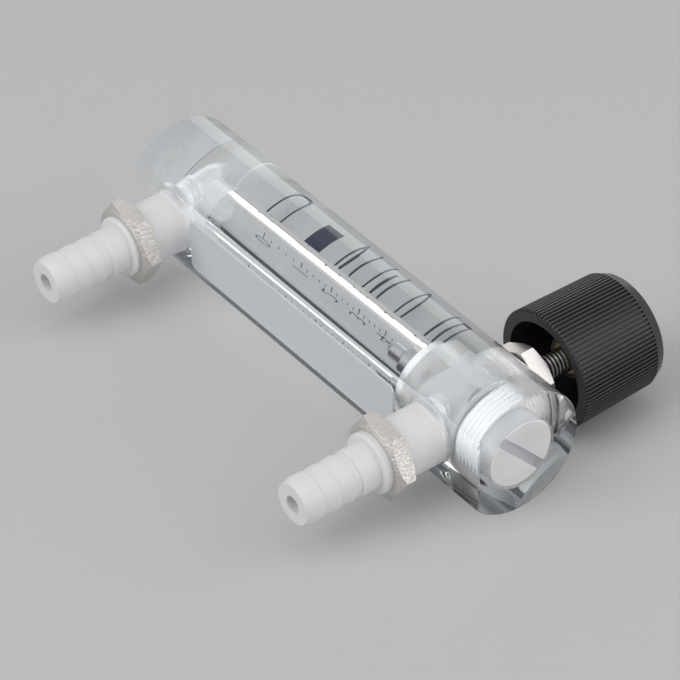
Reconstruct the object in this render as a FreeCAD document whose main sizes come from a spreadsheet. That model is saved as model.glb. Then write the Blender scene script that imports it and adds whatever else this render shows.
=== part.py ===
import FreeCAD, Part
import Sketcher
import math
import os

from FreeCAD import Placement, Rotation, Vector

# Acrylic block flow meter with a needle valve, made to screw onto a panel by its two hose fittings.
#
# Frame: millimetres. The metering bore runs along +Z and the meter stands on the plain lower end of
# its block, so the origin is the middle of that end, on the bore's axis. The scale and the valve knob
# face the front, -Y. The flat back with the two ports faces +Y. The flow enters by the lower port,
# lifts the float in the bore, which widens upwards, and leaves through the valve by the upper port.
#
# Turned pieces are drawn along their own +Z axis and then turned to lie along +Y, -Y or -Z.

SIZES = {
    # clear block: a round rod with one flat
    "body_radius": 12.7,
    "back_flat": 9.8,
    "body_length": 101.6,
    "end_chamfer": 0.25,
    # how far a cutting profile runs on past the face it opens, and into a hole that it meets
    "cut_margin": 1.0,
    "cut_into_hole": 2.0,
    # stepped hole from the upper end: plug thread, valve chamber, stop seat, tapered metering bore
    "plug_hole_radius": 7.05,
    "plug_hole_depth": 9.4,
    "chamber_radius": 5.05,
    "chamber_depth": 24.2,
    "stop_seat_radius": 3.9,
    "stop_seat_depth": 26.2,
    "bore_high_radius": 3.17,
    "bore_low_radius": 2.73,
    "bore_bottom": 17.4,
    "passage_radius": 2.5,
    # ports in the back flat
    "inlet_height": 10.5,
    "outlet_height": 86.7,
    "port_recess_radius": 6.15,
    "inlet_recess_floor": 6.6,
    "outlet_recess_floor": 7.6,
    "port_thread_radius": 3.98,
    "inlet_thread_end": 1.5,
    "inlet_drill_radius": 3.2,
    "inlet_drill_centre": -0.9,
    # valve opening in the round front, measured from the bore's axis
    "spot_face_radius": 7.7,
    "spot_face_depth": 11.5,
    "gland_seal_recess_radius": 6.1,
    "gland_seal_recess_depth": 10.4,
    "gland_hole_radius": 4.75,
    # float stop
    "stop_outer_radius": 3.88,
    "stop_height": 1.98,
    "stop_throat_radius": 1.6,
    "stop_cone_radius": 1.95,
    "stop_cone_depth": 0.35,
    # float, drawn against its stop
    "float_nose_radius": 0.6,
    "float_nose_height": 1.4,
    "float_stem_radius": 1.6,
    "float_stem_height": 4.4,
    "float_head_radius": 2.64,
    "float_head_height": 5.44,
    "float_head_top": 7.6,
    "float_crown_radius": 2.24,
    "float_length": 8.0,
    "float_height": 67.35,
    # end plug
    "plug_radius": 7.0,
    "plug_rise": 0.15,
    "plug_thread_length": 7.65,
    "plug_nose_radius": 4.6,
    "plug_length": 10.3,
    "plug_chamfer": 0.35,
    "plug_dimple_radius": 4.6,
    "plug_dimple_depth": 0.5,
    "slot_width": 2.0,
    "slot_depth": 2.0,
    # hose fitting, measured outwards from its shoulder
    "stub_radius": 3.95,
    "stub_length": 4.8,
    "stub_chamfer": 0.4,
    "seat_pocket_radius": 2.4,
    "seat_pocket_depth": 2.4,
    "hose_bore_radius": 1.7,
    "spigot_radius": 5.85,
    "spigot_length": 13.7,
    "spigot_chamfer": 0.3,
    "neck_radius": 4.5,
    "neck_end": 17.8,
    "barb_root_radius": 4.22,
    "barb_crest_radius": 4.5,
    "barb_land": 0.8,
    "first_barb": 19.4,
    "second_barb": 22.7,
    "third_barb": 26.1,
    "last_land_end": 28.3,
    "tip_radius": 4.05,
    "fitting_tip": 30.0,
    "inlet_shoulder": 8.2,
    "outlet_shoulder": 9.2,
    # panel nut
    "nut_flat_radius": 7.25,
    "nut_thickness": 4.0,
    "nut_bore_radius": 5.88,
    "nut_face_radius": 6.6,
    "nut_chamfer_drop": 1.96,
    "chamfer_reach": 10.0,
    "inlet_nut_start": 17.0,
    "outlet_nut_start": 17.5,
    # valve gland, measured outwards from its inner end
    "gland_inner_end": 5.6,
    "gland_thread_radius": 4.7,
    "gland_barrel_length": 5.9,
    "gland_hex_flat_radius": 6.4,
    "gland_hex_height": 3.6,
    "gland_hex_face_radius": 5.9,
    "gland_chamfer_drop": 2.37,
    "thread_chamfer": 0.4,
    "gland_chamber_radius": 3.4,
    "gland_chamber_depth": 6.2,
    "gland_stem_radius": 2.45,
    # valve stem, measured outwards from the middle of the block
    "needle_point_radius": 0.5,
    "needle_point": 3.9,
    "needle_radius": 1.5,
    "needle_shoulder": 1.1,
    "plunger_start": 4.9,
    "plunger_radius": 3.33,
    "plunger_end": 10.1,
    "groove_start": 8.15,
    "groove_end": 9.65,
    "groove_radius": 2.0,
    "groove_half": 0.75,
    "stem_radius": 2.4,
    "stem_end": 32.2,
    "stem_chamfer": 0.5,
    # valve seat bush in the outlet stub
    "seat_outer_radius": 2.38,
    "seat_length": 2.38,
    "seat_orifice_radius": 1.2,
    # knob, measured outwards from its rim
    "knob_rim": 17.5,
    "knob_rim_radius": 11.8,
    "knob_rib_end_radius": 11.4,
    "knob_rib_end": 17.2,
    "knob_face_radius": 10.5,
    "knob_length": 19.5,
    "knob_hollow_radius": 9.5,
    "knob_hollow_depth": 15.5,
    "knob_hub_radius": 4.0,
    "knob_hub_start": 5.0,
    "knob_bush_radius": 3.1,
    "knob_bush_play": 0.01,
    "knob_rim_break": 0.3,
    "rib_count": 88.0,
    "rib_gap": 0.38,
    "rib_depth": 0.4,
    "bush_length": 9.8,
    "bush_bore_radius": 2.41,
    # seal rings: mean radius, half height of the section, half width of its two flats
    "plug_seal_ring": 5.42,
    "port_seal_ring": 5.0,
    "large_seal_section": 0.79,
    "large_seal_flat": 0.42,
    "gland_seal_ring": 5.42,
    "gland_seal_section": 0.54,
    "gland_seal_flat": 0.28,
    "stem_seal_ring": 2.69,
    "stem_seal_section": 0.67,
    "stem_seal_flat": 0.35,
    # white strip behind the metering bore
    "strip_half_width": 5.5,
    "strip_shift": 0.75,
    "strip_low": 17.4,
    "strip_length": 60.6,
    "strip_thickness": 0.4,
    "strip_corner": 0.8,
}

SLOT_ANGLE = -42.0
NUT_ANGLE = 31.5
GLAND_ANGLE = 4.25

TOWARDS_BACK = Rotation(Vector(1, 0, 0), -90)
TOWARDS_FRONT = Rotation(Vector(1, 0, 0), 90)
UPSIDE_DOWN = Rotation(Vector(0, 1, 0), 180)

doc = FreeCAD.newDocument("FlowMeter")
sheet = doc.addObject("Spreadsheet::Sheet", "Sizes")


def fill_sheet():
    """Write every driving size with its name beside it."""
    for row, (name, size) in enumerate(SIZES.items(), start=1):
        sheet.set("A%d" % row, name)
        sheet.set("B%d" % row, str(size))
        sheet.setAlias("B%d" % row, name)
    doc.recompute()


def is_number(word):
    return word.replace(".", "", 1).isdigit()


def amount(sum_of_sizes):
    """Value of a sum such as 'plug_rise + plug_length' or '- strip_corner'."""
    total = 0.0
    sign = 1.0
    for word in sum_of_sizes.split():
        if word in "+-":
            sign = 1.0 if word == "+" else -1.0
            continue
        total += sign * (float(word) if is_number(word) else SIZES[word])
        sign = 1.0
    return total


def expression(sum_of_sizes):
    """The same sum written for the expression engine."""
    words = []
    for word in sum_of_sizes.split():
        plain = word in "+-" or is_number(word)
        words.append(word if plain else "Sizes." + word)
    return " ".join(words)


def new_body(label):
    body = doc.addObject("PartDesign::Body", label)
    body.Label = label
    return body


def origin_plane(body, role):
    for feature in body.Origin.OriginFeatures:
        if feature.Role == role:
            return feature
    raise ValueError(role)


def new_sketch(body, name, role):
    sketch = body.newObject("Sketcher::SketchObject", name)
    sketch.AttachmentSupport = [(origin_plane(body, role), "")]
    sketch.MapMode = "FlatFace"
    return sketch


def pin_point(sketch, line, end, across, along):
    """Hold one end of a line at two sums of sizes from the sketch's origin."""
    for kind, axis, text in (("DistanceX", -2, across), ("DistanceY", -1, along)):
        if abs(amount(text)) < 1e-9:
            sketch.addConstraint(Sketcher.Constraint("PointOnObject", line, end, axis))
            continue
        value = amount(text)
        index = sketch.addConstraint(Sketcher.Constraint(kind, -1, 1, line, end, value))
        sketch.setExpression("Constraints[%d]" % index, expression(text))


def outline(sketch, corners):
    """Closed outline of straight lines; each corner is a pair of sums of sizes."""
    places = [Vector(amount(x), amount(y), 0) for x, y in corners]
    count = len(corners)
    first = sketch.GeometryCount
    for i in range(count):
        sketch.addGeometry(Part.LineSegment(places[i], places[(i + 1) % count]), False)
    for i in range(count):
        following = first + (i + 1) % count
        sketch.addConstraint(Sketcher.Constraint("Coincident", first + i, 2, following, 1))
    for i, (across, along) in enumerate(corners):
        pin_point(sketch, first + i, 1, across, along)


def pad(body, sketch, length):
    feature = body.newObject("PartDesign::Pad", "Pad")
    feature.Profile = sketch
    feature.setExpression("Length", expression(length))
    doc.recompute()
    return feature


def pocket(body, sketch, length, both_ways=False):
    """Cut a sketch into the body, and turn the cut round if it met no material."""
    before = body.Shape.Volume
    feature = body.newObject("PartDesign::Pocket", "Pocket")
    feature.Profile = sketch
    feature.setExpression("Length", expression(length))
    feature.Midplane = both_ways
    doc.recompute()
    if body.Shape.Volume > before - 1e-3:
        feature.Reversed = True
        doc.recompute()
    if body.Shape.Volume > before - 1e-3:
        raise RuntimeError("%s: a pocket cut nothing" % body.Label)
    return feature


def revolve(body, sketch, axis):
    feature = body.newObject("PartDesign::Revolution", "Revolution")
    feature.Profile = sketch
    feature.ReferenceAxis = (sketch, [axis])
    feature.Angle = 360
    doc.recompute()
    return feature


def groove(body, sketch, axis):
    """Turn a profile out of the body."""
    before = body.Shape.Volume
    feature = body.newObject("PartDesign::Groove", "Groove")
    feature.Profile = sketch
    feature.ReferenceAxis = (sketch, [axis])
    feature.Angle = 360
    doc.recompute()
    if body.Shape.Volume > before - 1e-3:
        raise RuntimeError("%s: a groove cut nothing" % body.Label)
    return feature


def turned(label, corners):
    """Body turned about its own Z axis; corners are (radius, height)."""
    body = new_body(label)
    sketch = new_sketch(body, "Profile", "XZ_Plane")
    outline(sketch, corners)
    doc.recompute()
    revolve(body, sketch, "V_Axis")
    return body


def place(piece, rotation, back="0", height="0"):
    """Put a piece on the meter's middle plane, this far towards the back and up."""
    piece.Placement = Placement(Vector(0, amount(back), amount(height)), rotation)
    piece.setExpression(".Placement.Base.y", expression(back))
    piece.setExpression(".Placement.Base.z", expression(height))


def hexagon(sketch, flat_radius, angle):
    """Regular hexagon about the sketch's origin, with the flats at the sheet's distance."""
    corner = amount(flat_radius) / math.cos(math.radians(30))
    spots = []
    for i in range(6):
        turn = math.radians(angle + 60 * i)
        spots.append(Vector(corner * math.cos(turn), corner * math.sin(turn), 0))
    for i in range(6):
        sketch.addGeometry(Part.LineSegment(spots[i], spots[(i + 1) % 6]), False)
    for i in range(6):
        sketch.addConstraint(Sketcher.Constraint("Coincident", i, 2, (i + 1) % 6, 1))
    circle = Part.Circle(Vector(0, 0, 0), Vector(0, 0, 1), corner)
    guide = sketch.addGeometry(circle, True)
    sketch.addConstraint(Sketcher.Constraint("Coincident", guide, 3, -1, 1))
    for i in range(6):
        sketch.addConstraint(Sketcher.Constraint("PointOnObject", i, 1, guide))
    for i in range(5):
        sketch.addConstraint(Sketcher.Constraint("Equal", i, i + 1))
    index = sketch.addConstraint(Sketcher.Constraint("Radius", guide, corner))
    sketch.setExpression("Constraints[%d]" % index, expression(flat_radius) + " / cos(30 deg)")
    lean = sketch.addGeometry(Part.LineSegment(Vector(0, 0, 0), spots[0]), True)
    sketch.addConstraint(Sketcher.Constraint("Coincident", lean, 1, -1, 1))
    sketch.addConstraint(Sketcher.Constraint("Coincident", lean, 2, 0, 1))
    sketch.addConstraint(Sketcher.Constraint("Angle", lean, math.radians(angle)))


def body_block():
    """Clear rod with a flat, its stepped main hole, two ports and the valve opening."""
    body = new_body("body_block")
    section = new_sketch(body, "Section", "XY_Plane")
    radius = SIZES["body_radius"]
    flat = SIZES["back_flat"]
    half = math.sqrt(radius * radius - flat * flat)
    start = math.atan2(flat, -half)
    stop = math.atan2(flat, half) + 2 * math.pi
    rod = Part.Circle(Vector(0, 0, 0), Vector(0, 0, 1), radius)
    section.addGeometry(Part.ArcOfCircle(rod, start, stop), False)
    section.addGeometry(Part.LineSegment(Vector(half, flat, 0), Vector(-half, flat, 0)), False)
    section.addConstraint(Sketcher.Constraint("Coincident", 0, 3, -1, 1))
    section.addConstraint(Sketcher.Constraint("Coincident", 0, 2, 1, 1))
    section.addConstraint(Sketcher.Constraint("Coincident", 1, 2, 0, 1))
    section.addConstraint(Sketcher.Constraint("Horizontal", 1))
    index = section.addConstraint(Sketcher.Constraint("Radius", 0, radius))
    section.setExpression("Constraints[%d]" % index, "Sizes.body_radius")
    index = section.addConstraint(Sketcher.Constraint("DistanceY", -1, 1, 1, 1, flat))
    section.setExpression("Constraints[%d]" % index, "Sizes.back_flat")
    doc.recompute()
    break_ends(body, pad(body, section, "body_length"))

    main = new_sketch(body, "MainHole", "XZ_Plane")
    outline(main, [
        ("0", "inlet_height"),
        ("passage_radius", "inlet_height"),
        ("passage_radius", "bore_bottom"),
        ("bore_low_radius", "bore_bottom"),
        ("bore_high_radius", "body_length - stop_seat_depth"),
        ("stop_seat_radius", "body_length - stop_seat_depth"),
        ("stop_seat_radius", "body_length - chamber_depth"),
        ("chamber_radius", "body_length - chamber_depth"),
        ("chamber_radius", "body_length - plug_hole_depth"),
        ("plug_hole_radius", "body_length - plug_hole_depth"),
        ("plug_hole_radius", "body_length"),
        ("0", "body_length"),
    ])
    doc.recompute()
    groove(body, main, "V_Axis")

    outlet = cross_sketch(body, "OutletPort", "outlet_height")
    outline(outlet, [
        ("chamber_radius - cut_into_hole", "0"),
        ("back_flat + cut_margin", "0"),
        ("back_flat + cut_margin", "port_recess_radius"),
        ("outlet_recess_floor", "port_recess_radius"),
        ("outlet_recess_floor", "port_thread_radius"),
        ("chamber_radius - cut_into_hole", "port_thread_radius"),
    ])
    doc.recompute()
    groove(body, outlet, "H_Axis")

    inlet = cross_sketch(body, "InletPort", "inlet_height")
    outline(inlet, [
        ("inlet_drill_centre", "0"),
        ("back_flat + cut_margin", "0"),
        ("back_flat + cut_margin", "port_recess_radius"),
        ("inlet_recess_floor", "port_recess_radius"),
        ("inlet_recess_floor", "port_thread_radius"),
        ("inlet_thread_end", "port_thread_radius"),
        ("inlet_thread_end", "inlet_drill_radius"),
        ("inlet_drill_centre", "inlet_drill_radius"),
    ])
    doc.recompute()
    groove(body, inlet, "H_Axis")
    ball_end(body)

    valve = cross_sketch(body, "ValveOpening", "outlet_height")
    outline(valve, [
        ("- body_radius - cut_margin", "0"),
        ("cut_into_hole - chamber_radius", "0"),
        ("cut_into_hole - chamber_radius", "gland_hole_radius"),
        ("- gland_seal_recess_depth", "gland_hole_radius"),
        ("- gland_seal_recess_depth", "gland_seal_recess_radius"),
        ("- spot_face_depth", "gland_seal_recess_radius"),
        ("- spot_face_depth", "spot_face_radius"),
        ("- body_radius - cut_margin", "spot_face_radius"),
    ])
    doc.recompute()
    groove(body, valve, "H_Axis")
    return body


def break_ends(body, rod):
    """Small chamfer round both ends of the block."""
    levels = (0.0, SIZES["body_length"])
    rims = []
    for number, edge in enumerate(rod.Shape.Edges, start=1):
        box = edge.BoundBox
        if any(abs(box.ZMin - level) + abs(box.ZMax - level) < 0.01 for level in levels):
            rims.append("Edge%d" % number)
    feature = body.newObject("PartDesign::Chamfer", "EndChamfers")
    feature.Base = (rod, rims)
    feature.setExpression("Size", "Sizes.end_chamfer")
    doc.recompute()


def cross_sketch(body, name, height):
    """Sketch in the block's middle plane whose level axis lies along a cross hole."""
    sketch = new_sketch(body, name, "YZ_Plane")
    sketch.AttachmentOffset = Placement(Vector(0, amount(height), 0), Rotation())
    sketch.setExpression(".AttachmentOffset.Base.y", expression(height))
    return sketch


def ball_end(body):
    """Round end of the inlet's drilled hole."""
    sketch = cross_sketch(body, "RoundEnd", "inlet_height")
    radius = SIZES["inlet_drill_radius"]
    middle = SIZES["inlet_drill_centre"]
    circle = Part.Circle(Vector(middle, 0, 0), Vector(0, 0, 1), radius)
    sketch.addGeometry(Part.ArcOfCircle(circle, 0, math.pi), False)
    ends = (Vector(middle - radius, 0, 0), Vector(middle + radius, 0, 0))
    sketch.addGeometry(Part.LineSegment(ends[0], ends[1]), False)
    sketch.addConstraint(Sketcher.Constraint("Coincident", 0, 2, 1, 1))
    sketch.addConstraint(Sketcher.Constraint("Coincident", 1, 2, 0, 1))
    sketch.addConstraint(Sketcher.Constraint("PointOnObject", 0, 3, -1))
    sketch.addConstraint(Sketcher.Constraint("PointOnObject", 1, 1, -1))
    sketch.addConstraint(Sketcher.Constraint("PointOnObject", 1, 2, -1))
    index = sketch.addConstraint(Sketcher.Constraint("Radius", 0, radius))
    sketch.setExpression("Constraints[%d]" % index, "Sizes.inlet_drill_radius")
    index = sketch.addConstraint(Sketcher.Constraint("DistanceX", -1, 1, 0, 3, middle))
    sketch.setExpression("Constraints[%d]" % index, "Sizes.inlet_drill_centre")
    doc.recompute()
    groove(body, sketch, "H_Axis")


def float_stop():
    """Ring over the metering bore that the float stops against, countersunk underneath."""
    body = turned("float_stop", [
        ("stop_throat_radius", "stop_cone_depth"),
        ("stop_cone_radius", "0"),
        ("stop_outer_radius", "0"),
        ("stop_outer_radius", "stop_height"),
        ("stop_throat_radius", "stop_height"),
    ])
    place(body, Rotation(), "0", "body_length - chamber_depth - stop_height")
    return body


def float_piece():
    """Turned metal float: blunt nose, stem and the wide head whose edge gives the reading. Its cone
    closes on the lower end of the bore when nothing flows."""
    body = turned("float", [
        ("0", "0"),
        ("float_nose_radius", "0"),
        ("float_stem_radius", "float_nose_height"),
        ("float_stem_radius", "float_stem_height"),
        ("float_head_radius", "float_head_height"),
        ("float_head_radius", "float_head_top"),
        ("float_crown_radius", "float_length"),
        ("0", "float_length"),
    ])
    place(body, Rotation(), "0", "float_height")
    return body


def end_plug():
    """Slotted screw plug that closes the upper end, with a nose that carries its seal ring. It is drawn
    from its slotted face inwards."""
    body = turned("end_plug", [
        ("0", "plug_dimple_depth"),
        ("plug_dimple_radius", "0"),
        ("plug_radius - plug_chamfer", "0"),
        ("plug_radius", "plug_chamfer"),
        ("plug_radius", "plug_thread_length"),
        ("plug_nose_radius", "plug_thread_length"),
        ("plug_nose_radius", "plug_length"),
        ("0", "plug_length"),
    ])
    slot = new_sketch(body, "Slot", "XY_Plane")
    slot.AttachmentOffset = Placement(Vector(0, 0, 0), Rotation(Vector(0, 0, 1), SLOT_ANGLE))
    reach = SIZES["plug_radius"] + SIZES["cut_margin"]
    half = SIZES["slot_width"] / 2
    spots = [Vector(-reach, -half, 0), Vector(reach, -half, 0)]
    spots += [Vector(reach, half, 0), Vector(-reach, half, 0)]
    for i in range(4):
        slot.addGeometry(Part.LineSegment(spots[i], spots[(i + 1) % 4]), False)
    for i in range(4):
        slot.addConstraint(Sketcher.Constraint("Coincident", i, 2, (i + 1) % 4, 1))
    for i in (0, 2):
        slot.addConstraint(Sketcher.Constraint("Horizontal", i))
        slot.addConstraint(Sketcher.Constraint("Vertical", i + 1))
    slot.addConstraint(Sketcher.Constraint("Symmetric", 0, 1, 1, 2, -1, 1))
    index = slot.addConstraint(Sketcher.Constraint("DistanceY", 0, 2, 1, 2, 2 * half))
    slot.setExpression("Constraints[%d]" % index, "Sizes.slot_width")
    index = slot.addConstraint(Sketcher.Constraint("DistanceX", 0, 1, 0, 2, 2 * reach))
    slot.setExpression("Constraints[%d]" % index, "2 * (Sizes.plug_radius + Sizes.cut_margin)")
    doc.recompute()
    pocket(body, slot, "slot_depth")
    place(body, UPSIDE_DOWN, "0", "body_length - plug_rise")
    return body


def hose_fitting(label, shoulder, height):
    """White hose fitting: thread stub, threaded panel spigot, neck and three barbs."""
    body = turned(label, [
        ("seat_pocket_radius", "- stub_length"),
        ("stub_radius - stub_chamfer", "- stub_length"),
        ("stub_radius", "stub_chamfer - stub_length"),
        ("stub_radius", "0"),
        ("spigot_radius", "0"),
        ("spigot_radius", "spigot_length - spigot_chamfer"),
        ("spigot_radius - spigot_chamfer", "spigot_length"),
        ("neck_radius", "spigot_length"),
        ("neck_radius", "neck_end"),
        ("barb_root_radius", "neck_end"),
        ("barb_root_radius", "first_barb"),
        ("barb_crest_radius", "first_barb"),
        ("barb_crest_radius", "first_barb + barb_land"),
        ("barb_root_radius", "second_barb"),
        ("barb_crest_radius", "second_barb"),
        ("barb_crest_radius", "second_barb + barb_land"),
        ("barb_root_radius", "third_barb"),
        ("barb_crest_radius", "third_barb"),
        ("barb_crest_radius", "last_land_end"),
        ("tip_radius", "fitting_tip"),
        ("hose_bore_radius", "fitting_tip"),
        ("hose_bore_radius", "seat_pocket_depth - stub_length"),
        ("seat_pocket_radius", "seat_pocket_depth - stub_length"),
    ])
    place(body, TOWARDS_BACK, shoulder, height)
    return body


def ring(label, mean, section, flat, rotation, back, height):
    """Rubber seal ring squeezed between two faces: six-sided section of this half height."""
    body = turned(label, [
        (mean + " - " + flat, "- " + section),
        (mean + " + " + flat, "- " + section),
        (mean + " + " + section, "0"),
        (mean + " + " + flat, section),
        (mean + " - " + flat, section),
        (mean + " - " + section, "0"),
    ])
    place(body, rotation, back, height)
    return body


def panel_nut(label, start, height):
    """Thin hexagon nut, chamfered on both faces."""
    body = new_body(label)
    section = new_sketch(body, "Hexagon", "XY_Plane")
    # the nut's own Y axis ends up pointing down, so the angle is taken the other way
    hexagon(section, "nut_flat_radius", -NUT_ANGLE)
    doc.recompute()
    pad(body, section, "nut_thickness")
    corners = new_sketch(body, "Chamfers", "XZ_Plane")
    outline(corners, [
        ("nut_face_radius", "0"),
        ("chamfer_reach", "0"),
        ("chamfer_reach", "nut_chamfer_drop"),
    ])
    outline(corners, [
        ("nut_face_radius", "nut_thickness"),
        ("chamfer_reach", "nut_thickness"),
        ("chamfer_reach", "nut_thickness - nut_chamfer_drop"),
    ])
    doc.recompute()
    groove(body, corners, "V_Axis")
    bore = new_sketch(body, "Bore", "XY_Plane")
    round_outline(bore, "nut_bore_radius")
    doc.recompute()
    pocket(body, bore, "nut_thickness")
    place(body, TOWARDS_BACK, start, height)
    return body


def round_outline(sketch, radius):
    size = amount(radius)
    sketch.addGeometry(Part.Circle(Vector(0, 0, 0), Vector(0, 0, 1), size), False)
    sketch.addConstraint(Sketcher.Constraint("Coincident", 0, 3, -1, 1))
    index = sketch.addConstraint(Sketcher.Constraint("Radius", 0, size))
    sketch.setExpression("Constraints[%d]" % index, expression(radius))


def valve_gland():
    """Plated gland: threaded barrel in the block, hexagon outside, stepped bore for the stem."""
    body = new_body("valve_gland")
    section = new_sketch(body, "Hexagon", "XY_Plane")
    section.AttachmentOffset = Placement(Vector(0, 0, amount("gland_barrel_length")), Rotation())
    section.setExpression(".AttachmentOffset.Base.z", "Sizes.gland_barrel_length")
    hexagon(section, "gland_hex_flat_radius", GLAND_ANGLE)
    doc.recompute()
    pad(body, section, "gland_hex_height")
    corners = new_sketch(body, "Chamfer", "XZ_Plane")
    top = "gland_barrel_length + gland_hex_height"
    outline(corners, [
        ("gland_hex_face_radius", top),
        ("chamfer_reach", top),
        ("chamfer_reach", top + " - gland_chamfer_drop"),
    ])
    doc.recompute()
    groove(body, corners, "V_Axis")
    barrel = new_sketch(body, "Barrel", "XZ_Plane")
    outline(barrel, [
        ("0", "0"),
        ("gland_thread_radius - thread_chamfer", "0"),
        ("gland_thread_radius", "thread_chamfer"),
        ("gland_thread_radius", "gland_barrel_length"),
        ("0", "gland_barrel_length"),
    ])
    doc.recompute()
    revolve(body, barrel, "V_Axis")
    bore = new_sketch(body, "Bore", "XZ_Plane")
    outline(bore, [
        ("0", "0"),
        ("gland_chamber_radius", "0"),
        ("gland_chamber_radius", "gland_chamber_depth"),
        ("gland_stem_radius", "gland_chamber_depth"),
        ("gland_stem_radius", top),
        ("0", top),
    ])
    doc.recompute()
    groove(body, bore, "V_Axis")
    place(body, TOWARDS_FRONT, "- gland_inner_end", "outlet_height")
    return body


def valve_stem():
    """Needle, sealed plunger and the long thread that carries the knob, in one turned piece."""
    body = turned("valve_stem", [
        ("0", "- needle_point"),
        ("needle_point_radius", "- needle_point"),
        ("needle_radius", "- needle_shoulder"),
        ("needle_radius", "plunger_start"),
        ("plunger_radius", "plunger_start"),
        ("plunger_radius", "groove_start"),
        ("groove_radius", "groove_start"),
        ("groove_radius", "groove_end"),
        ("plunger_radius", "groove_end"),
        ("plunger_radius", "plunger_end"),
        ("stem_radius", "plunger_end"),
        ("stem_radius", "stem_end - stem_chamfer"),
        ("stem_radius - stem_chamfer", "stem_end"),
        ("0", "stem_end"),
    ])
    place(body, TOWARDS_FRONT, "0", "outlet_height")
    return body


def valve_seat():
    """Soft bush in the end of the outlet stub that the needle closes."""
    body = turned("valve_seat", [
        ("seat_orifice_radius", "0"),
        ("seat_outer_radius", "0"),
        ("seat_outer_radius", "seat_length"),
        ("seat_orifice_radius", "seat_length"),
    ])
    place(body, TOWARDS_BACK, "outlet_shoulder - stub_length", "outlet_height")
    return body


def knob():
    """Ribbed hollow knob with a smooth bevelled end and a hub on the stem."""
    body = turned("knob", [
        ("0", "knob_hub_start + bush_length"),
        ("knob_bush_radius", "knob_hub_start + bush_length"),
        ("knob_bush_radius", "knob_hub_start"),
        ("knob_hub_radius", "knob_hub_start"),
        ("knob_hub_radius", "knob_hollow_depth"),
        ("knob_hollow_radius", "knob_hollow_depth"),
        ("knob_hollow_radius", "0"),
        ("knob_rim_radius - knob_rim_break", "0"),
        ("knob_rim_radius", "knob_rim_break"),
        ("knob_rib_end_radius", "knob_rib_end"),
        ("knob_face_radius", "knob_length - knob_rim_break"),
        ("knob_face_radius - knob_rim_break", "knob_length"),
        ("0", "knob_length"),
    ])
    gap = new_sketch(body, "RibGap", "XZ_Plane")
    outline(gap, [
        ("knob_rim_radius - rib_depth", "- cut_margin"),
        ("knob_rim_radius + cut_margin", "- cut_margin"),
        ("knob_rim_radius + cut_margin", "knob_rib_end"),
        ("knob_rib_end_radius - rib_depth", "knob_rib_end"),
    ])
    doc.recompute()
    cut = pocket(body, gap, "rib_gap", both_ways=True)
    ribs = body.newObject("PartDesign::PolarPattern", "Ribs")
    ribs.Originals = [cut]
    ribs.Axis = (gap, ["V_Axis"])
    ribs.Angle = 360
    ribs.setExpression("Occurrences", "Sizes.rib_count")
    body.Tip = ribs
    doc.recompute()
    place(body, TOWARDS_FRONT, "- knob_rim", "outlet_height")
    return body


def knob_insert():
    """Brass bush moulded into the knob's hub and screwed on the stem."""
    body = turned("knob_insert", [
        ("bush_bore_radius", "0"),
        ("knob_bush_radius - knob_bush_play", "0"),
        ("knob_bush_radius - knob_bush_play", "bush_length"),
        ("bush_bore_radius", "bush_length"),
    ])
    place(body, TOWARDS_FRONT, "- knob_rim - knob_hub_start", "outlet_height")
    return body


def backing_strip():
    """Thin white strip stuck on the flat back, so that the float is read against white."""
    body = new_body("backing_strip")
    face = new_sketch(body, "Face", "XY_Plane")
    low = "- strip_shift - strip_half_width"
    high = "strip_half_width - strip_shift"
    outline(face, [
        (low, "strip_corner"),
        (low + " + strip_corner", "0"),
        (high + " - strip_corner", "0"),
        (high, "strip_corner"),
        (high, "strip_length - strip_corner"),
        (high + " - strip_corner", "strip_length"),
        (low + " + strip_corner", "strip_length"),
        (low, "strip_length - strip_corner"),
    ])
    doc.recompute()
    pad(body, face, "strip_thickness")
    place(body, TOWARDS_BACK, "back_flat", "strip_low + strip_length")
    return body


def all_pieces():
    return [
        body_block(),
        float_stop(),
        float_piece(),
        end_plug(),
        ring("plug_o_ring", "plug_seal_ring", "large_seal_section", "large_seal_flat",
             UPSIDE_DOWN, "0",
             "body_length - plug_rise - plug_thread_length - large_seal_section"),
        hose_fitting("inlet_fitting", "inlet_shoulder", "inlet_height"),
        hose_fitting("outlet_fitting", "outlet_shoulder", "outlet_height"),
        ring("inlet_o_ring", "port_seal_ring", "large_seal_section", "large_seal_flat",
             TOWARDS_BACK, "inlet_recess_floor + large_seal_section", "inlet_height"),
        ring("outlet_o_ring", "port_seal_ring", "large_seal_section", "large_seal_flat",
             TOWARDS_BACK, "outlet_recess_floor + large_seal_section", "outlet_height"),
        panel_nut("inlet_panel_nut", "inlet_nut_start", "inlet_height"),
        panel_nut("outlet_panel_nut", "outlet_nut_start", "outlet_height"),
        valve_gland(),
        ring("gland_o_ring", "gland_seal_ring", "gland_seal_section", "gland_seal_flat",
             TOWARDS_FRONT, "- gland_seal_recess_depth - gland_seal_section", "outlet_height"),
        valve_stem(),
        ring("stem_o_ring", "stem_seal_ring", "stem_seal_section", "stem_seal_flat",
             TOWARDS_FRONT, "- groove_start - groove_half", "outlet_height"),
        valve_seat(),
        knob(),
        knob_insert(),
        backing_strip(),
    ]


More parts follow.
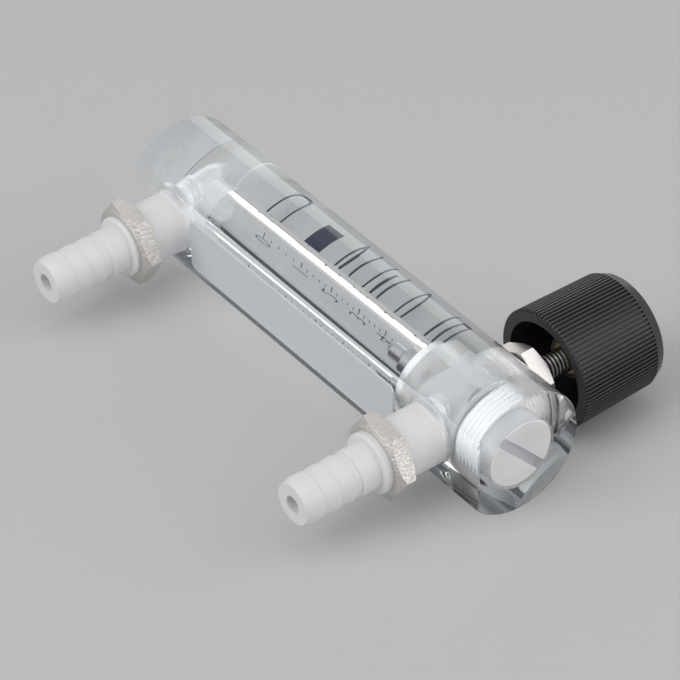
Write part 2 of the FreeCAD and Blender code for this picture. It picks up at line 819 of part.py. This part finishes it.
def check_and_write(pieces):
    """Stop on any failed feature or bad solid, then write one file for each piece."""
    for item in doc.Objects:
        if "Invalid" in item.State or "Error" in item.State:
            raise RuntimeError("%s did not compute: %s" % (item.Name, item.State))
    os.makedirs("parts", exist_ok=True)
    for piece in pieces:
        shape = piece.Shape
        if shape.isNull() or not shape.isValid() or len(shape.Solids) != 1:
            raise RuntimeError("%s has no single valid solid" % piece.Label)
        box = shape.BoundBox
        print("%-18s %9.1f mm3  x %6.2f..%6.2f  y %6.2f..%6.2f  z %6.2f..%6.2f" % (
            piece.Label, shape.Volume, box.XMin, box.XMax, box.YMin, box.YMax, box.ZMin, box.ZMax))
        shape.exportStep(os.path.join("parts", piece.Label + ".step"))


fill_sheet()
PIECES = all_pieces()
doc.recompute()
check_and_write(PIECES)
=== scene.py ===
import math

import bmesh
import bpy
import numpy as np
from mathutils import Matrix, Vector


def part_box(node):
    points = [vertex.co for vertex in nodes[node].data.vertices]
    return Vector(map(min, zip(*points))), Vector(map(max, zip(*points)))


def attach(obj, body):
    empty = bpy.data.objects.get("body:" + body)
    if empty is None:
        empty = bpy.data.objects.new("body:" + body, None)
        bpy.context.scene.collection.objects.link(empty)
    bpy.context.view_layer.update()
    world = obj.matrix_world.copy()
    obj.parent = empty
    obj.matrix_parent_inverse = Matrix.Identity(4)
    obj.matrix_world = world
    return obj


# Clear block flow meter with a needle valve. Metres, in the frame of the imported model: +Z up the
# metering bore, -Y towards the scale and the valve knob, +Y towards the hose fittings.

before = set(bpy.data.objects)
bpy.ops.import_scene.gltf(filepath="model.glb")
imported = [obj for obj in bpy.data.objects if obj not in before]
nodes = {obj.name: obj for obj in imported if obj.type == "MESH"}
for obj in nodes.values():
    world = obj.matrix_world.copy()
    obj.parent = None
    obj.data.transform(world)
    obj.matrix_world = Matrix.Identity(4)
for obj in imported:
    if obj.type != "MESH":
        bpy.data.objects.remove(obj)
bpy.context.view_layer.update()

MM = 0.001

# ---------------------------------------------------------------- shader arithmetic


class Wire:
    """One output of a shader node. Each operation on it adds the Math node that works it out."""

    def __init__(self, graph, socket):
        self.graph = graph
        self.socket = socket

    def math(self, operation, *others):
        values = dict(enumerate((self,) + others))
        return self.graph.node("ShaderNodeMath", {"operation": operation}, values)

    def __add__(self, other):
        return self.math("ADD", other)

    def __sub__(self, other):
        return self.math("SUBTRACT", other)

    def __rsub__(self, other):
        return self.graph.node("ShaderNodeMath", {"operation": "SUBTRACT"}, {0: other, 1: self})

    def __mul__(self, other):
        return self.math("MULTIPLY", other)

    def __truediv__(self, other):
        return self.math("DIVIDE", other)

    def __rtruediv__(self, other):
        return self.graph.node("ShaderNodeMath", {"operation": "DIVIDE"}, {0: other, 1: self})

    def __gt__(self, other):
        return self.math("GREATER_THAN", other)

    def __lt__(self, other):
        return self.math("LESS_THAN", other)

    __radd__ = __add__
    __rmul__ = __mul__

    def step(self, low, high):
        """0 below low, 1 above high and a smooth rise between them; low above high turns it round."""
        settings = {"interpolation_type": "SMOOTHSTEP"}
        values = {"Value": self, "From Min": low, "From Max": high}
        return self.graph.node("ShaderNodeMapRange", settings, values, "Result")


class Graph:
    """The nodes of one material or of the world."""

    def __init__(self, tree, output):
        self.tree = tree
        self.output = tree.nodes[output]

    def fill(self, socket, value):
        """A wire or a plain value for this input."""
        if isinstance(value, Wire):
            self.tree.links.new(value.socket, socket)
        else:
            socket.default_value = value

    def node(self, kind, settings, values, output=0):
        """A node of this type: its settings first, then the values or wires of its sockets."""
        made = self.tree.nodes.new(kind)
        for name, value in settings.items():
            setattr(made, name, value)
        for name, value in values.items():
            self.fill(made.inputs[name], value)
        return Wire(self, made.outputs[output])

    def mix(self, factor, first, second):
        """first where the factor is 0 and second where it is 1, both shaders."""
        return self.node("ShaderNodeMixShader", {}, {0: factor, 1: first, 2: second}, "Shader")

    def light_path(self, name):
        return self.node("ShaderNodeLightPath", {}, {}, name)

    def show(self, shader):
        self.fill(self.output.inputs["Surface"], shader)


class Finish(Graph):
    """A material with one Principled shader, built from named nodes."""

    def __init__(self, name, **values):
        self.material = bpy.data.materials.new(name)
        self.material.use_nodes = True
        super().__init__(self.material.node_tree, "Material Output")
        self.shader = self.tree.nodes["Principled BSDF"]
        self.plain = Wire(self, self.shader.outputs[0])
        self.place = self.node("ShaderNodeTexCoord", {}, {}, "Object")
        split = self.node("ShaderNodeSeparateXYZ", {}, {"Vector": self.place}, "X")
        outputs = split.socket.node.outputs
        self.x, self.y, self.z = (Wire(self, outputs[name]) for name in "XYZ")
        self.set(**values)

    def set(self, **values):
        """Values or wires of the Principled shader's sockets, with _ for a space in a name."""
        for name, value in values.items():
            self.fill(self.shader.inputs[name.replace("_", " ")], value)

    def noise(self, scale, detail=3.0, roughness=0.5, stretch=(1, 1, 1)):
        """Noise from 0 to 1 with this many features a metre, squeezed along the axes by stretch."""
        mapping = self.node("ShaderNodeMapping", {}, {"Vector": self.place, "Scale": stretch})
        values = {"Vector": mapping, "Scale": scale, "Detail": detail, "Roughness": roughness}
        return self.node("ShaderNodeTexNoise", {}, values, "Fac")

    def blend(self, amount, first, second):
        """first where amount is 0 and second where it is 1, both colours."""
        # inputs 6 and 7 and output 2 are the Mix node's colours
        return self.node("ShaderNodeMix", {"data_type": "RGBA"}, {0: amount, 6: first, 7: second}, 2)

    def bump(self, height, depth):
        """The height, 0 to 1, times depth in metres, as the shader's normal."""
        values = {"Height": height, "Distance": depth, "Strength": 1.0}
        self.set(Normal=self.node("ShaderNodeBump", {}, values, "Normal"))

    def distance(self, first, second):
        """Distance from the line where both of these are 0."""
        return (first * first + second * second).math("SQRT")

    def angle(self, first, second):
        """Turns about that line, 0 to 1."""
        return first.math("ARCTAN2", second) / (2 * math.pi)

    def thread(self, along, turns, pitch):
        """Ridge height of a screw thread: a triangle wave along the axis, moved on by the turn."""
        phase = (along / pitch + turns).math("FRACT")
        return 1.0 - (phase * 2.0 - 1.0).math("ABSOLUTE")


def dress(finish, *names):
    for name in names:
        mesh = nodes[name].data
        mesh.materials.clear()
        mesh.materials.append(finish.material)


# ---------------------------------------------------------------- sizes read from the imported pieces

block_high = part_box("body_block")[1]
body_radius = block_high.x
body_length = block_high.z
back_flat = block_high.y
inlet_low, inlet_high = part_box("inlet_fitting")
outlet_low, outlet_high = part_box("outlet_fitting")
inlet_height = (inlet_low.z + inlet_high.z) / 2
outlet_height = (outlet_low.z + outlet_high.z) / 2
plug_low, plug_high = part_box("end_plug")
plug_radius = plug_high.x
chamber_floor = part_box("float_stop")[1].z
knob_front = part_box("knob")[0].y
# the shoulder where the reamed bore ends on the drilled passage
bore_floor = 17.4 * MM
pipe_pitch = 1.0 * MM
valve_pitch = 0.8 * MM

# ---------------------------------------------------------------- finishes


def clear_acrylic():
    """Polished outside; the drilled holes inside are frosted by the cutter and carry their threads."""
    f = Finish(
        "clear_acrylic",
        Transmission_Weight=1.0,
        IOR=1.49,
        Base_Color=(0.955, 0.965, 0.97, 1.0),
    )
    radius = f.distance(f.x, f.y)
    inlet_line = f.distance(f.x, f.z - inlet_height)
    outlet_line = f.distance(f.x, f.z - outlet_height)
    # plug hole, valve chamber and stop seat above; the drilled passage below the reamed bore
    upper_hole = (radius < 7.2 * MM) * (f.z > chamber_floor - 2.1 * MM)
    passage = (radius < 2.65 * MM) * (f.z < bore_floor + 0.1 * MM)
    bore_step = (radius < 2.9 * MM) * (f.z > bore_floor - 0.1 * MM) * (f.z < bore_floor + 0.25 * MM)
    # inlet hole, outlet hole and the valve opening
    behind = f.y < 9.7 * MM
    inside = radius < 12.6 * MM
    ports = ((inlet_line < 6.3 * MM) + (outlet_line < 6.3 * MM)) * behind * inside
    cut = (upper_hole + passage + ports).math("MINIMUM", 1.0)
    smear = f.noise(900.0, 4.0, 0.6)
    faint = 0.006 + 0.012 * f.noise(70.0, 3.0)
    f.set(Roughness=cut * (0.3 + 0.12 * smear) + faint)
    # threads cut in the plug hole, the two ports and the valve opening
    plug_zone = (radius > 6.9 * MM) * (radius < 7.2 * MM) * (f.z > plug_low.z + 1.4 * MM)
    threads = 0.45 * f.thread(f.z, f.angle(f.x, f.y), pipe_pitch) * plug_zone
    inlet_zone = (inlet_line < 4.2 * MM) * (f.y > 1.6 * MM)
    threads += 0.5 * f.thread(f.y, f.angle(f.x, f.z - inlet_height), pipe_pitch) * inlet_zone
    outlet_zone = (outlet_line < 4.2 * MM) * (f.y > 2.5 * MM)
    threads += 0.5 * f.thread(f.y, f.angle(f.x, f.z - outlet_height), pipe_pitch) * outlet_zone
    valve_zone = (outlet_line < 4.9 * MM) * (f.y < -4.0 * MM)
    threads += f.thread(f.y, f.angle(f.x, f.z - outlet_height), valve_pitch) * valve_zone
    f.bump(threads * 0.8 + f.noise(2500.0, 2.0) * cut * 0.1, 0.16 * MM)
    # milky where the cutter left it rough
    colour = {"Color": (0.91, 0.92, 0.93, 1.0)}
    white = f.node("ShaderNodeBsdfDiffuse", {}, colour, "BSDF")
    glow = f.node("ShaderNodeBsdfTranslucent", {}, colour, "BSDF")
    milk = f.mix(0.45, white, glow)
    haze = upper_hole * 0.3 + passage * 0.5 + ports * 0.5 + bore_step * 0.5
    haze = (haze + 0.08 * smear * cut).math("MINIMUM", 0.75)
    body = f.mix(haze, f.plain, milk)
    # A stand-in, not how acrylic behaves: light reflected inside three times ends in a plain grey,
    # because the renderer would otherwise cut it off black.
    grey = f.node("ShaderNodeBsdfDiffuse", {}, {"Color": (0.62, 0.63, 0.64, 1.0)}, "BSDF")
    body = f.mix(f.light_path("Glossy Depth") > 2.5, body, grey)
    # the lamps shine straight through
    clear = f.node("ShaderNodeBsdfTransparent", {}, {"Color": (0.93, 0.935, 0.94, 1.0)}, "BSDF")
    f.show(f.mix(f.light_path("Is Shadow Ray"), body, clear))
    return f


def white_nylon(name, line_height, thread_start, thread_end):
    """Moulded white nylon: waxy, slightly see-through, with a rolled thread between these depths."""
    f = Finish(
        name,
        Subsurface_Weight=0.15,
        Subsurface_Radius=(1.0, 0.95, 0.9),
        Subsurface_Scale=1.2 * MM,
        IOR=1.53,
    )
    cloud = f.noise(120.0, 4.0, 0.55)
    grain = f.noise(2600.0, 3.0, 0.6)
    turned = f.angle(f.x, f.z - line_height)
    zone = f.y.step(thread_start - 0.3 * MM, thread_start + 0.2 * MM)
    zone = zone * f.y.step(thread_end + 0.2 * MM, thread_end - 0.3 * MM)
    ridge = f.thread(f.y, turned, pipe_pitch) * zone
    # painted shade: the colour darkens in the roots of the thread, on top of the random cloudy tone
    shade = (0.3 + 0.5 * cloud) + 0.12 * (1.0 - ridge) * zone
    f.set(Base_Color=f.blend(shade, (0.87, 0.87, 0.875, 1.0), (0.79, 0.79, 0.80, 1.0)))
    f.set(Roughness=0.34 + 0.14 * cloud + 0.06 * grain)
    f.bump(ridge * 0.35 + grain * 0.08 + cloud * 0.1, 0.14 * MM)
    return f


def plug_nylon():
    """The same nylon on the plug of the upper end, whose thread runs about the bore's own axis."""
    f = Finish(
        "plug_nylon",
        Subsurface_Weight=0.3,
        Subsurface_Radius=(1.0, 0.95, 0.9),
        Subsurface_Scale=1.2 * MM,
        IOR=1.53,
    )
    radius = f.distance(f.x, f.y)
    rim = radius.step(plug_radius - 0.5 * MM, plug_radius - 0.1 * MM)
    rim = rim * (f.z < plug_high.z - 1.2 * MM)
    ridge = f.thread(f.z, f.angle(f.x, f.y), pipe_pitch) * rim
    cloud = f.noise(160.0, 4.0, 0.55)
    rings = (radius / (0.35 * MM)).math("FRACT")
    slot_shade = (f.z < plug_high.z - 0.7 * MM) * (radius < plug_radius - 0.6 * MM)
    # painted shade: the colour darkens in the roots of the thread and down in the slot, on top of the
    # random cloudy tone
    shade = 0.3 + 0.4 * cloud + 0.3 * (1.0 - ridge) * rim + 0.5 * slot_shade
    f.set(Base_Color=f.blend(shade, (0.91, 0.91, 0.92, 1.0), (0.79, 0.80, 0.82, 1.0)))
    f.set(Roughness=0.3 + 0.16 * cloud)
    f.bump(ridge * 0.6 + rings * 0.03 + f.noise(2400.0, 3.0) * 0.08, 0.16 * MM)
    return f


def nickel_plate():
    """Plated brass: bright and a little warm, with soft dimples and fine tumbling marks."""
    f = Finish("nickel_plate", Metallic=1.0)
    cloud = f.noise(260.0, 4.0, 0.55)
    dimples = f.noise(1400.0, 3.0, 0.6)
    marks = f.noise(700.0, 2.0, 0.5, (1, 9, 1))
    f.set(Base_Color=f.blend(cloud, (0.80, 0.775, 0.74, 1.0), (0.67, 0.63, 0.585, 1.0)))
    f.set(Roughness=0.22 + 0.16 * cloud + 0.05 * marks)
    pits = f.noise(1900.0, 2.0, 0.7).step(0.6, 0.42)
    f.bump(dimples * 0.5 + cloud * 0.3 + marks * 0.1 + pits * 0.8, 0.07 * MM)
    return f


def gland_metal():
    """Turned and plated gland: facing rings on its flat ends, a fine thread on its barrel."""
    f = Finish("gland_metal", Metallic=1.0)
    line = f.distance(f.x, f.z - outlet_height)
    barrel = line.step(5.4 * MM, 5.1 * MM)
    ridge = f.thread(f.y, f.angle(f.x, f.z - outlet_height), valve_pitch) * barrel
    rings = (line / (0.16 * MM)).math("FRACT") * (1.0 - barrel)
    cloud = f.noise(300.0, 4.0, 0.55)
    f.set(Base_Color=f.blend(cloud, (0.80, 0.76, 0.75, 1.0), (0.68, 0.64, 0.61, 1.0)))
    f.set(Roughness=0.22 + 0.12 * cloud)
    f.bump(ridge + rings * 0.05 + cloud * 0.08, 0.1 * MM)
    return f


def float_steel():
    """Turned stainless steel with the tool's fine rings about the bore's axis."""
    f = Finish("float_steel", Metallic=1.0)
    cloud = f.noise(400.0, 4.0, 0.55)
    rings = (f.z / (0.12 * MM)).math("FRACT")
    f.set(Base_Color=f.blend(0.55 * cloud, (0.62, 0.62, 0.63, 1.0), (0.36, 0.35, 0.34, 1.0)))
    f.set(Roughness=0.2 + 0.14 * cloud)
    f.bump(rings * 0.03, 0.25 * MM)
    return f


def stem_steel():
    """Turned stainless steel, with painted shade in the grooves of its thread outside the gland."""
    f = Finish("stem_steel", Metallic=1.0)
    cloud = f.noise(400.0, 4.0, 0.55)
    outside = f.y < -10.2 * MM
    ridge = f.thread(f.y, f.angle(f.x, f.z - outlet_height), valve_pitch) * outside
    rings = (f.y / (0.12 * MM)).math("FRACT")
    # painted shade: darker in the grooves of the thread, on top of the random cloudy tone
    shade = 0.55 * cloud + 0.6 * (1.0 - ridge)
    f.set(Base_Color=f.blend(shade, (0.40, 0.39, 0.38, 1.0), (0.10, 0.095, 0.09, 1.0)))
    f.set(Roughness=0.2 + 0.14 * cloud)
    f.bump(ridge + rings * 0.03, 0.25 * MM)
    return f


def yellow_brass():
    """Plain turned brass bush pressed in the knob."""
    f = Finish("yellow_brass", Metallic=1.0)
    cloud = f.noise(500.0, 4.0, 0.55)
    f.set(Base_Color=f.blend(cloud, (0.52, 0.39, 0.20, 1.0), (0.30, 0.21, 0.10, 1.0)))
    f.set(Roughness=0.24 + 0.16 * cloud)
    f.bump((f.y / (0.2 * MM)).math("FRACT") * 0.2 + cloud * 0.3, 0.03 * MM)
    return f


def black_knob():
    """Moulded black plastic: semi-gloss ribs, a smoother bevelled end and a little handling wear."""
    f = Finish("black_knob", IOR=1.5)
    line = f.distance(f.x, f.z - outlet_height)
    cloud = f.noise(180.0, 4.0, 0.55)
    grain = f.noise(3800.0, 3.0, 0.6)
    crest = line.step(11.1 * MM, 11.5 * MM)
    end = f.y.step(knob_front + 2.4 * MM, knob_front + 2.1 * MM)
    worn = crest * 0.35 * cloud
    shade = 0.4 * cloud + worn
    f.set(Base_Color=f.blend(shade, (0.016, 0.016, 0.018, 1.0), (0.05, 0.05, 0.054, 1.0)))
    f.set(Roughness=0.36 + 0.12 * cloud - 0.12 * end + 0.06 * grain)
    turning = (line / (0.3 * MM)).math("FRACT") * end
    f.bump(grain * 0.25 + cloud * 0.1 + turning * 0.04, 0.05 * MM)
    return f


def seal_rubber():
    """Black nitrile rubber, matt with a greasy sheen in places."""
    f = Finish("seal_rubber", IOR=1.5)
    cloud = f.noise(500.0, 4.0, 0.6)
    f.set(Base_Color=f.blend(cloud, (0.012, 0.012, 0.013, 1.0), (0.05, 0.05, 0.05, 1.0)))
    f.set(Roughness=0.4 + 0.3 * cloud)
    f.bump(f.noise(5200.0, 3.0) * 0.4 + cloud * 0.3, 0.03 * MM)
    return f


def waxy_white():
    """Fluoropolymer of the float stop and the valve seat: soft white, slightly greasy."""
    f = Finish("waxy_white", IOR=1.38, Subsurface_Weight=0.3, Subsurface_Scale=0.8 * MM)
    cloud = f.noise(420.0, 4.0, 0.55)
    f.set(Base_Color=f.blend(cloud, (0.91, 0.91, 0.90, 1.0), (0.82, 0.82, 0.80, 1.0)))
    f.set(Roughness=0.32 + 0.16 * cloud)
    f.bump(cloud * 0.4 + f.noise(3000.0, 3.0) * 0.2, 0.03 * MM)
    return f


def strip_plastic():
    """Matt light grey-white strip: even, with a very fine tooth and paler scuffs."""
    f = Finish("strip_plastic", IOR=1.45)
    cloud = f.noise(60.0, 5.0, 0.6)
    tooth = f.noise(6000.0, 2.0)
    f.set(Base_Color=f.blend(cloud, (0.72, 0.745, 0.78, 1.0), (0.67, 0.695, 0.735, 1.0)))
    f.set(Roughness=0.5 + 0.1 * cloud + 0.1 * tooth)
    f.bump(tooth * 0.4 + cloud * 0.2, 0.012 * MM)
    return f


def scale_ink():
    """Screen-printed dark navy ink, thinner and slightly paler in patches."""
    f = Finish("scale_ink", IOR=1.45)
    patch = f.noise(900.0, 4.0, 0.6)
    f.set(Base_Color=f.blend(patch, (0.012, 0.016, 0.045, 1.0), (0.03, 0.04, 0.09, 1.0)))
    f.set(Roughness=0.38 + 0.2 * patch)
    f.bump(f.noise(5000.0, 2.0) * 0.5, 0.004 * MM)
    return f


def dress_nodes():
    dress(clear_acrylic(), "body_block")
    inlet = white_nylon("inlet_nylon", inlet_height, 3.4 * MM, 21.6 * MM)
    outlet = white_nylon("outlet_nylon", outlet_height, 4.4 * MM, 22.6 * MM)
    dress(inlet, "inlet_fitting")
    dress(outlet, "outlet_fitting")
    dress(plug_nylon(), "end_plug")
    dress(nickel_plate(), "inlet_panel_nut", "outlet_panel_nut")
    dress(gland_metal(), "valve_gland")
    dress(float_steel(), "float")
    dress(stem_steel(), "valve_stem")
    dress(yellow_brass(), "knob_insert")
    dress(black_knob(), "knob")
    seals = ("plug_o_ring", "inlet_o_ring", "outlet_o_ring", "gland_o_ring", "stem_o_ring")
    dress(seal_rubber(), *seals)
    dress(waxy_white(), "float_stop", "valve_seat")
    dress(strip_plastic(), "backing_strip")


# ---------------------------------------------------------------- printed scale

# heights of the numbers 0 to 5 in millimetres: a float meter's scale isn't quite even
NUMBER_HEIGHTS = (22.1, 33.5, 42.5, 50.6, 58.4, 68.3)
number_size = 6.9 * MM
# arc length from the middle of the front: a column of numbers each side of the bore, with the ladder
# of ticks at the left
NUMBER_COLUMNS = {"left": -11.2 * MM, "right": 4.5 * MM}
# thins the strokes of the numbers
STROKE_OFFSET = -0.09 * MM
ticks_start = -8.9 * MM
LONG_TICK, LONG_TICK_WIDTH = 4.2 * MM, 0.3 * MM
SHORT_TICK, SHORT_TICK_WIDTH = 2.2 * MM, 0.2 * MM
BAR_CELLS = 12
ink_lift = 0.015 * MM


def new_piece(name, mesh, finish, body):
    piece = bpy.data.objects.new(name, mesh)
    bpy.context.scene.collection.objects.link(piece)
    mesh.materials.clear()
    mesh.materials.append(finish.material)
    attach(piece, body)
    return piece


def around_front(flat):
    """Lays a flat drawing on the round front: its x becomes arc length about the bore's axis from the
    middle of the front, and its y becomes the height."""
    turn = flat[:, 0] / body_radius
    reach = body_radius + ink_lift
    return np.stack([reach * np.sin(turn), -reach * np.cos(turn), flat[:, 1]], axis=1)


def bars(lines):
    """Flat printed bars from (left, right, height, thickness) rows: each is one row of narrow cells
    whose corners are at left + (right - left) u and height + thickness v, for u from 0 to 1 and
    v = -1/2 and 1/2."""
    lines = np.array(lines)
    corners = BAR_CELLS + 1
    u, v = np.meshgrid(np.linspace(0, 1, corners), np.linspace(-0.5, 0.5, 2))
    left, right, height, thick = (lines[:, i, None, None] for i in range(4))
    x = left + (right - left) * u[None]
    y = height + thick * v[None]
    points = np.stack([x.ravel(), y.ravel()], axis=1)
    cell = np.arange(BAR_CELLS)
    quad = np.stack([cell, cell + 1, cell + corners + 1, cell + corners], axis=1)
    faces = (quad[None] + 2 * corners * np.arange(len(lines))[:, None, None]).reshape(-1, 4)
    return points, faces


def printed_ticks(finish):
    """Ticks of the scale: a long one at each number and four short ones between."""
    rows = []
    for number, height in enumerate(NUMBER_HEIGHTS):
        level = height * MM
        rows.append((ticks_start, ticks_start + LONG_TICK, level, LONG_TICK_WIDTH))
        if number == len(NUMBER_HEIGHTS) - 1:
            continue
        gap = (NUMBER_HEIGHTS[number + 1] - height) * MM
        for part in (1, 2, 3, 4):
            between = level + gap * part / 5
            rows.append((ticks_start, ticks_start + SHORT_TICK, between, SHORT_TICK_WIDTH))
    flat, faces = bars(rows)
    mesh = bpy.data.meshes.new("scale_ticks")
    mesh.from_pydata(around_front(flat).tolist(), [], faces.tolist())
    mesh.update()
    return new_piece("scale_ticks", mesh, finish, "block")


def printed_number(side, middle, number, height, finish):
    """One number of the scale, cut into narrow columns so that it follows the round front."""
    text = bpy.data.curves.new("number_%d" % number, "FONT")
    text.body = str(number)
    text.size = number_size
    text.align_x = "CENTER"
    text.align_y = "CENTER"
    text.resolution_u = 4
    text.offset = STROKE_OFFSET
    holder = bpy.data.objects.new("number_holder", text)
    mesh = bpy.data.meshes.new_from_object(holder)
    bpy.data.objects.remove(holder)
    shape = bmesh.new()
    shape.from_mesh(mesh)
    bmesh.ops.triangulate(shape, faces=shape.faces[:])
    for column in np.arange(-3.0, 3.0, 0.3) * MM:
        geometry = shape.verts[:] + shape.edges[:] + shape.faces[:]
        bmesh.ops.bisect_plane(shape, geom=geometry, plane_co=(column, 0, 0), plane_no=(1, 0, 0))
    shape.to_mesh(mesh)
    shape.free()
    flat = np.zeros(len(mesh.vertices) * 3)
    mesh.vertices.foreach_get("co", flat)
    flat = flat.reshape(-1, 3)[:, :2] + (middle, height)
    mesh.vertices.foreach_set("co", around_front(flat).ravel())
    mesh.update()
    name = "scale_%s_%d" % (side, number)
    return new_piece(name, mesh, finish, "block")


def print_scale():
    finish = scale_ink()
    printed_ticks(finish)
    for side, middle in NUMBER_COLUMNS.items():
        for number, height in enumerate(NUMBER_HEIGHTS):
            printed_number(side, middle, number, height * MM, finish)


# ---------------------------------------------------------------- studio

# The meter lies on its round side. The camera looks at the upper end and the side with the hose
# fittings, and its picture's upright is near +X.
CAMERA_PLACE = (0.488167, 0.350212, 0.511931)
CAMERA_RIGHT = (-0.014429, -0.789618, 0.613429)
CAMERA_UP = (0.759526, -0.407662, -0.506885)
CAMERA_LENS = 219.68


def place_camera():
    camera = bpy.data.cameras.new("studio_camera")
    camera.sensor_width = 36.0
    camera.lens = CAMERA_LENS
    camera.clip_start = 0.01
    camera.clip_end = 20.0
    holder = bpy.data.objects.new("studio_camera", camera)
    bpy.context.scene.collection.objects.link(holder)
    right = Vector(CAMERA_RIGHT).normalized()
    up = Vector(CAMERA_UP)
    up = (up - right * up.dot(right)).normalized()
    back = right.cross(up)
    turn = Matrix((right, up, back)).transposed().to_4x4()
    holder.matrix_world = Matrix.Translation(Vector(CAMERA_PLACE)) @ turn
    bpy.context.scene.camera = holder


def stage_finish(name, colour):
    """Pale matt paper, seen from its front only."""
    f = Finish(name)
    cloud = f.noise(6.0, 3.0)
    f.set(Base_Color=f.blend(cloud, colour, tuple(c * 0.985 for c in colour[:3]) + (1.0,)))
    f.set(Roughness=0.9)
    f.bump(f.noise(900.0, 2.0), 0.01 * MM)
    facing = f.node("ShaderNodeNewGeometry", {}, {}, "Backfacing")
    clear = f.node("ShaderNodeBsdfTransparent", {}, {"Color": (1.0, 1.0, 1.0, 1.0)}, "BSDF")
    f.show(f.mix(facing, f.plain, clear))
    return f


def stage_sheet(name, origin, along, across, finish):
    """A flat square sheet about origin with edges along these two directions; it faces their cross
    product."""
    corners = np.array([[-1, -1], [1, -1], [1, 1], [-1, 1]], float)
    points = np.array(origin) + corners[:, :1] * np.array(along) + corners[:, 1:] * np.array(across)
    mesh = bpy.data.meshes.new(name)
    mesh.from_pydata(points.tolist(), [], [(0, 1, 2, 3)])
    mesh.materials.append(finish.material)
    sheet = bpy.data.objects.new(name, mesh)
    bpy.context.scene.collection.objects.link(sheet)
    sheet.visible_shadow = False
    return sheet


def studio_lamp(name, place, aim, width, height, power):
    lamp = bpy.data.lights.new(name, "AREA")
    lamp.shape = "RECTANGLE"
    lamp.size = width
    lamp.size_y = height
    lamp.energy = power
    holder = bpy.data.objects.new(name, lamp)
    holder.visible_camera = False
    bpy.context.scene.collection.objects.link(holder)
    towards = Vector(aim) - Vector(place)
    turn = towards.to_track_quat("-Z", "Y").to_matrix().to_4x4()
    holder.matrix_world = Matrix.Translation(Vector(place)) @ turn


def pale_world():
    """Even pale surroundings: they light the object weakly, and are seen at full paleness."""
    world = bpy.data.worlds.new("studio_world")
    bpy.context.scene.world = world
    world.use_nodes = True
    graph = Graph(world.node_tree, "World Output")
    graph.tree.nodes.remove(graph.tree.nodes["Background"])
    kinds = ("Is Camera Ray", "Is Glossy Ray", "Is Transmission Ray")
    looks, glossy, through = (graph.light_path(kind) for kind in kinds)
    seen = (looks + glossy + through).math("MINIMUM", 1.0)
    light = {"Color": (1.0, 1.0, 1.0, 1.0), "Strength": 0.34}
    dim = graph.node("ShaderNodeBackground", {}, light, "Background")
    look = {"Color": (0.60, 0.61, 0.62, 1.0), "Strength": 1.0}
    pale = graph.node("ShaderNodeBackground", {}, look, "Background")
    graph.show(graph.mix(seen, dim, pale))


def build_studio():
    """The floor touches the round side that the meter lies on."""
    paper = stage_finish("studio_paper", (0.60, 0.605, 0.61, 1.0))
    stage_sheet("studio_floor", (-body_radius - 0.05 * MM, 0, 0), (0, 4, 0), (0, 0, 4), paper)
    middle = (0.0, 0.0, body_length / 2)
    studio_lamp("back_lamp", (0.23, -0.78, -0.73), middle, 0.5, 0.8, 1.15)
    studio_lamp("right_lamp", (0.46, -0.46, 0.70), middle, 1.1, 1.1, 3.2)
    studio_lamp("left_lamp", (0.75, 0.9, -0.1), middle, 0.9, 0.9, 5.0)
    studio_lamp("top_lamp", (1.2, 0.15, 0.15), middle, 0.8, 0.8, 2.2)
    pale_world()


dress_nodes()
print_scale()
place_camera()
build_studio()

bpy.context.scene.view_settings.view_transform = "Standard"
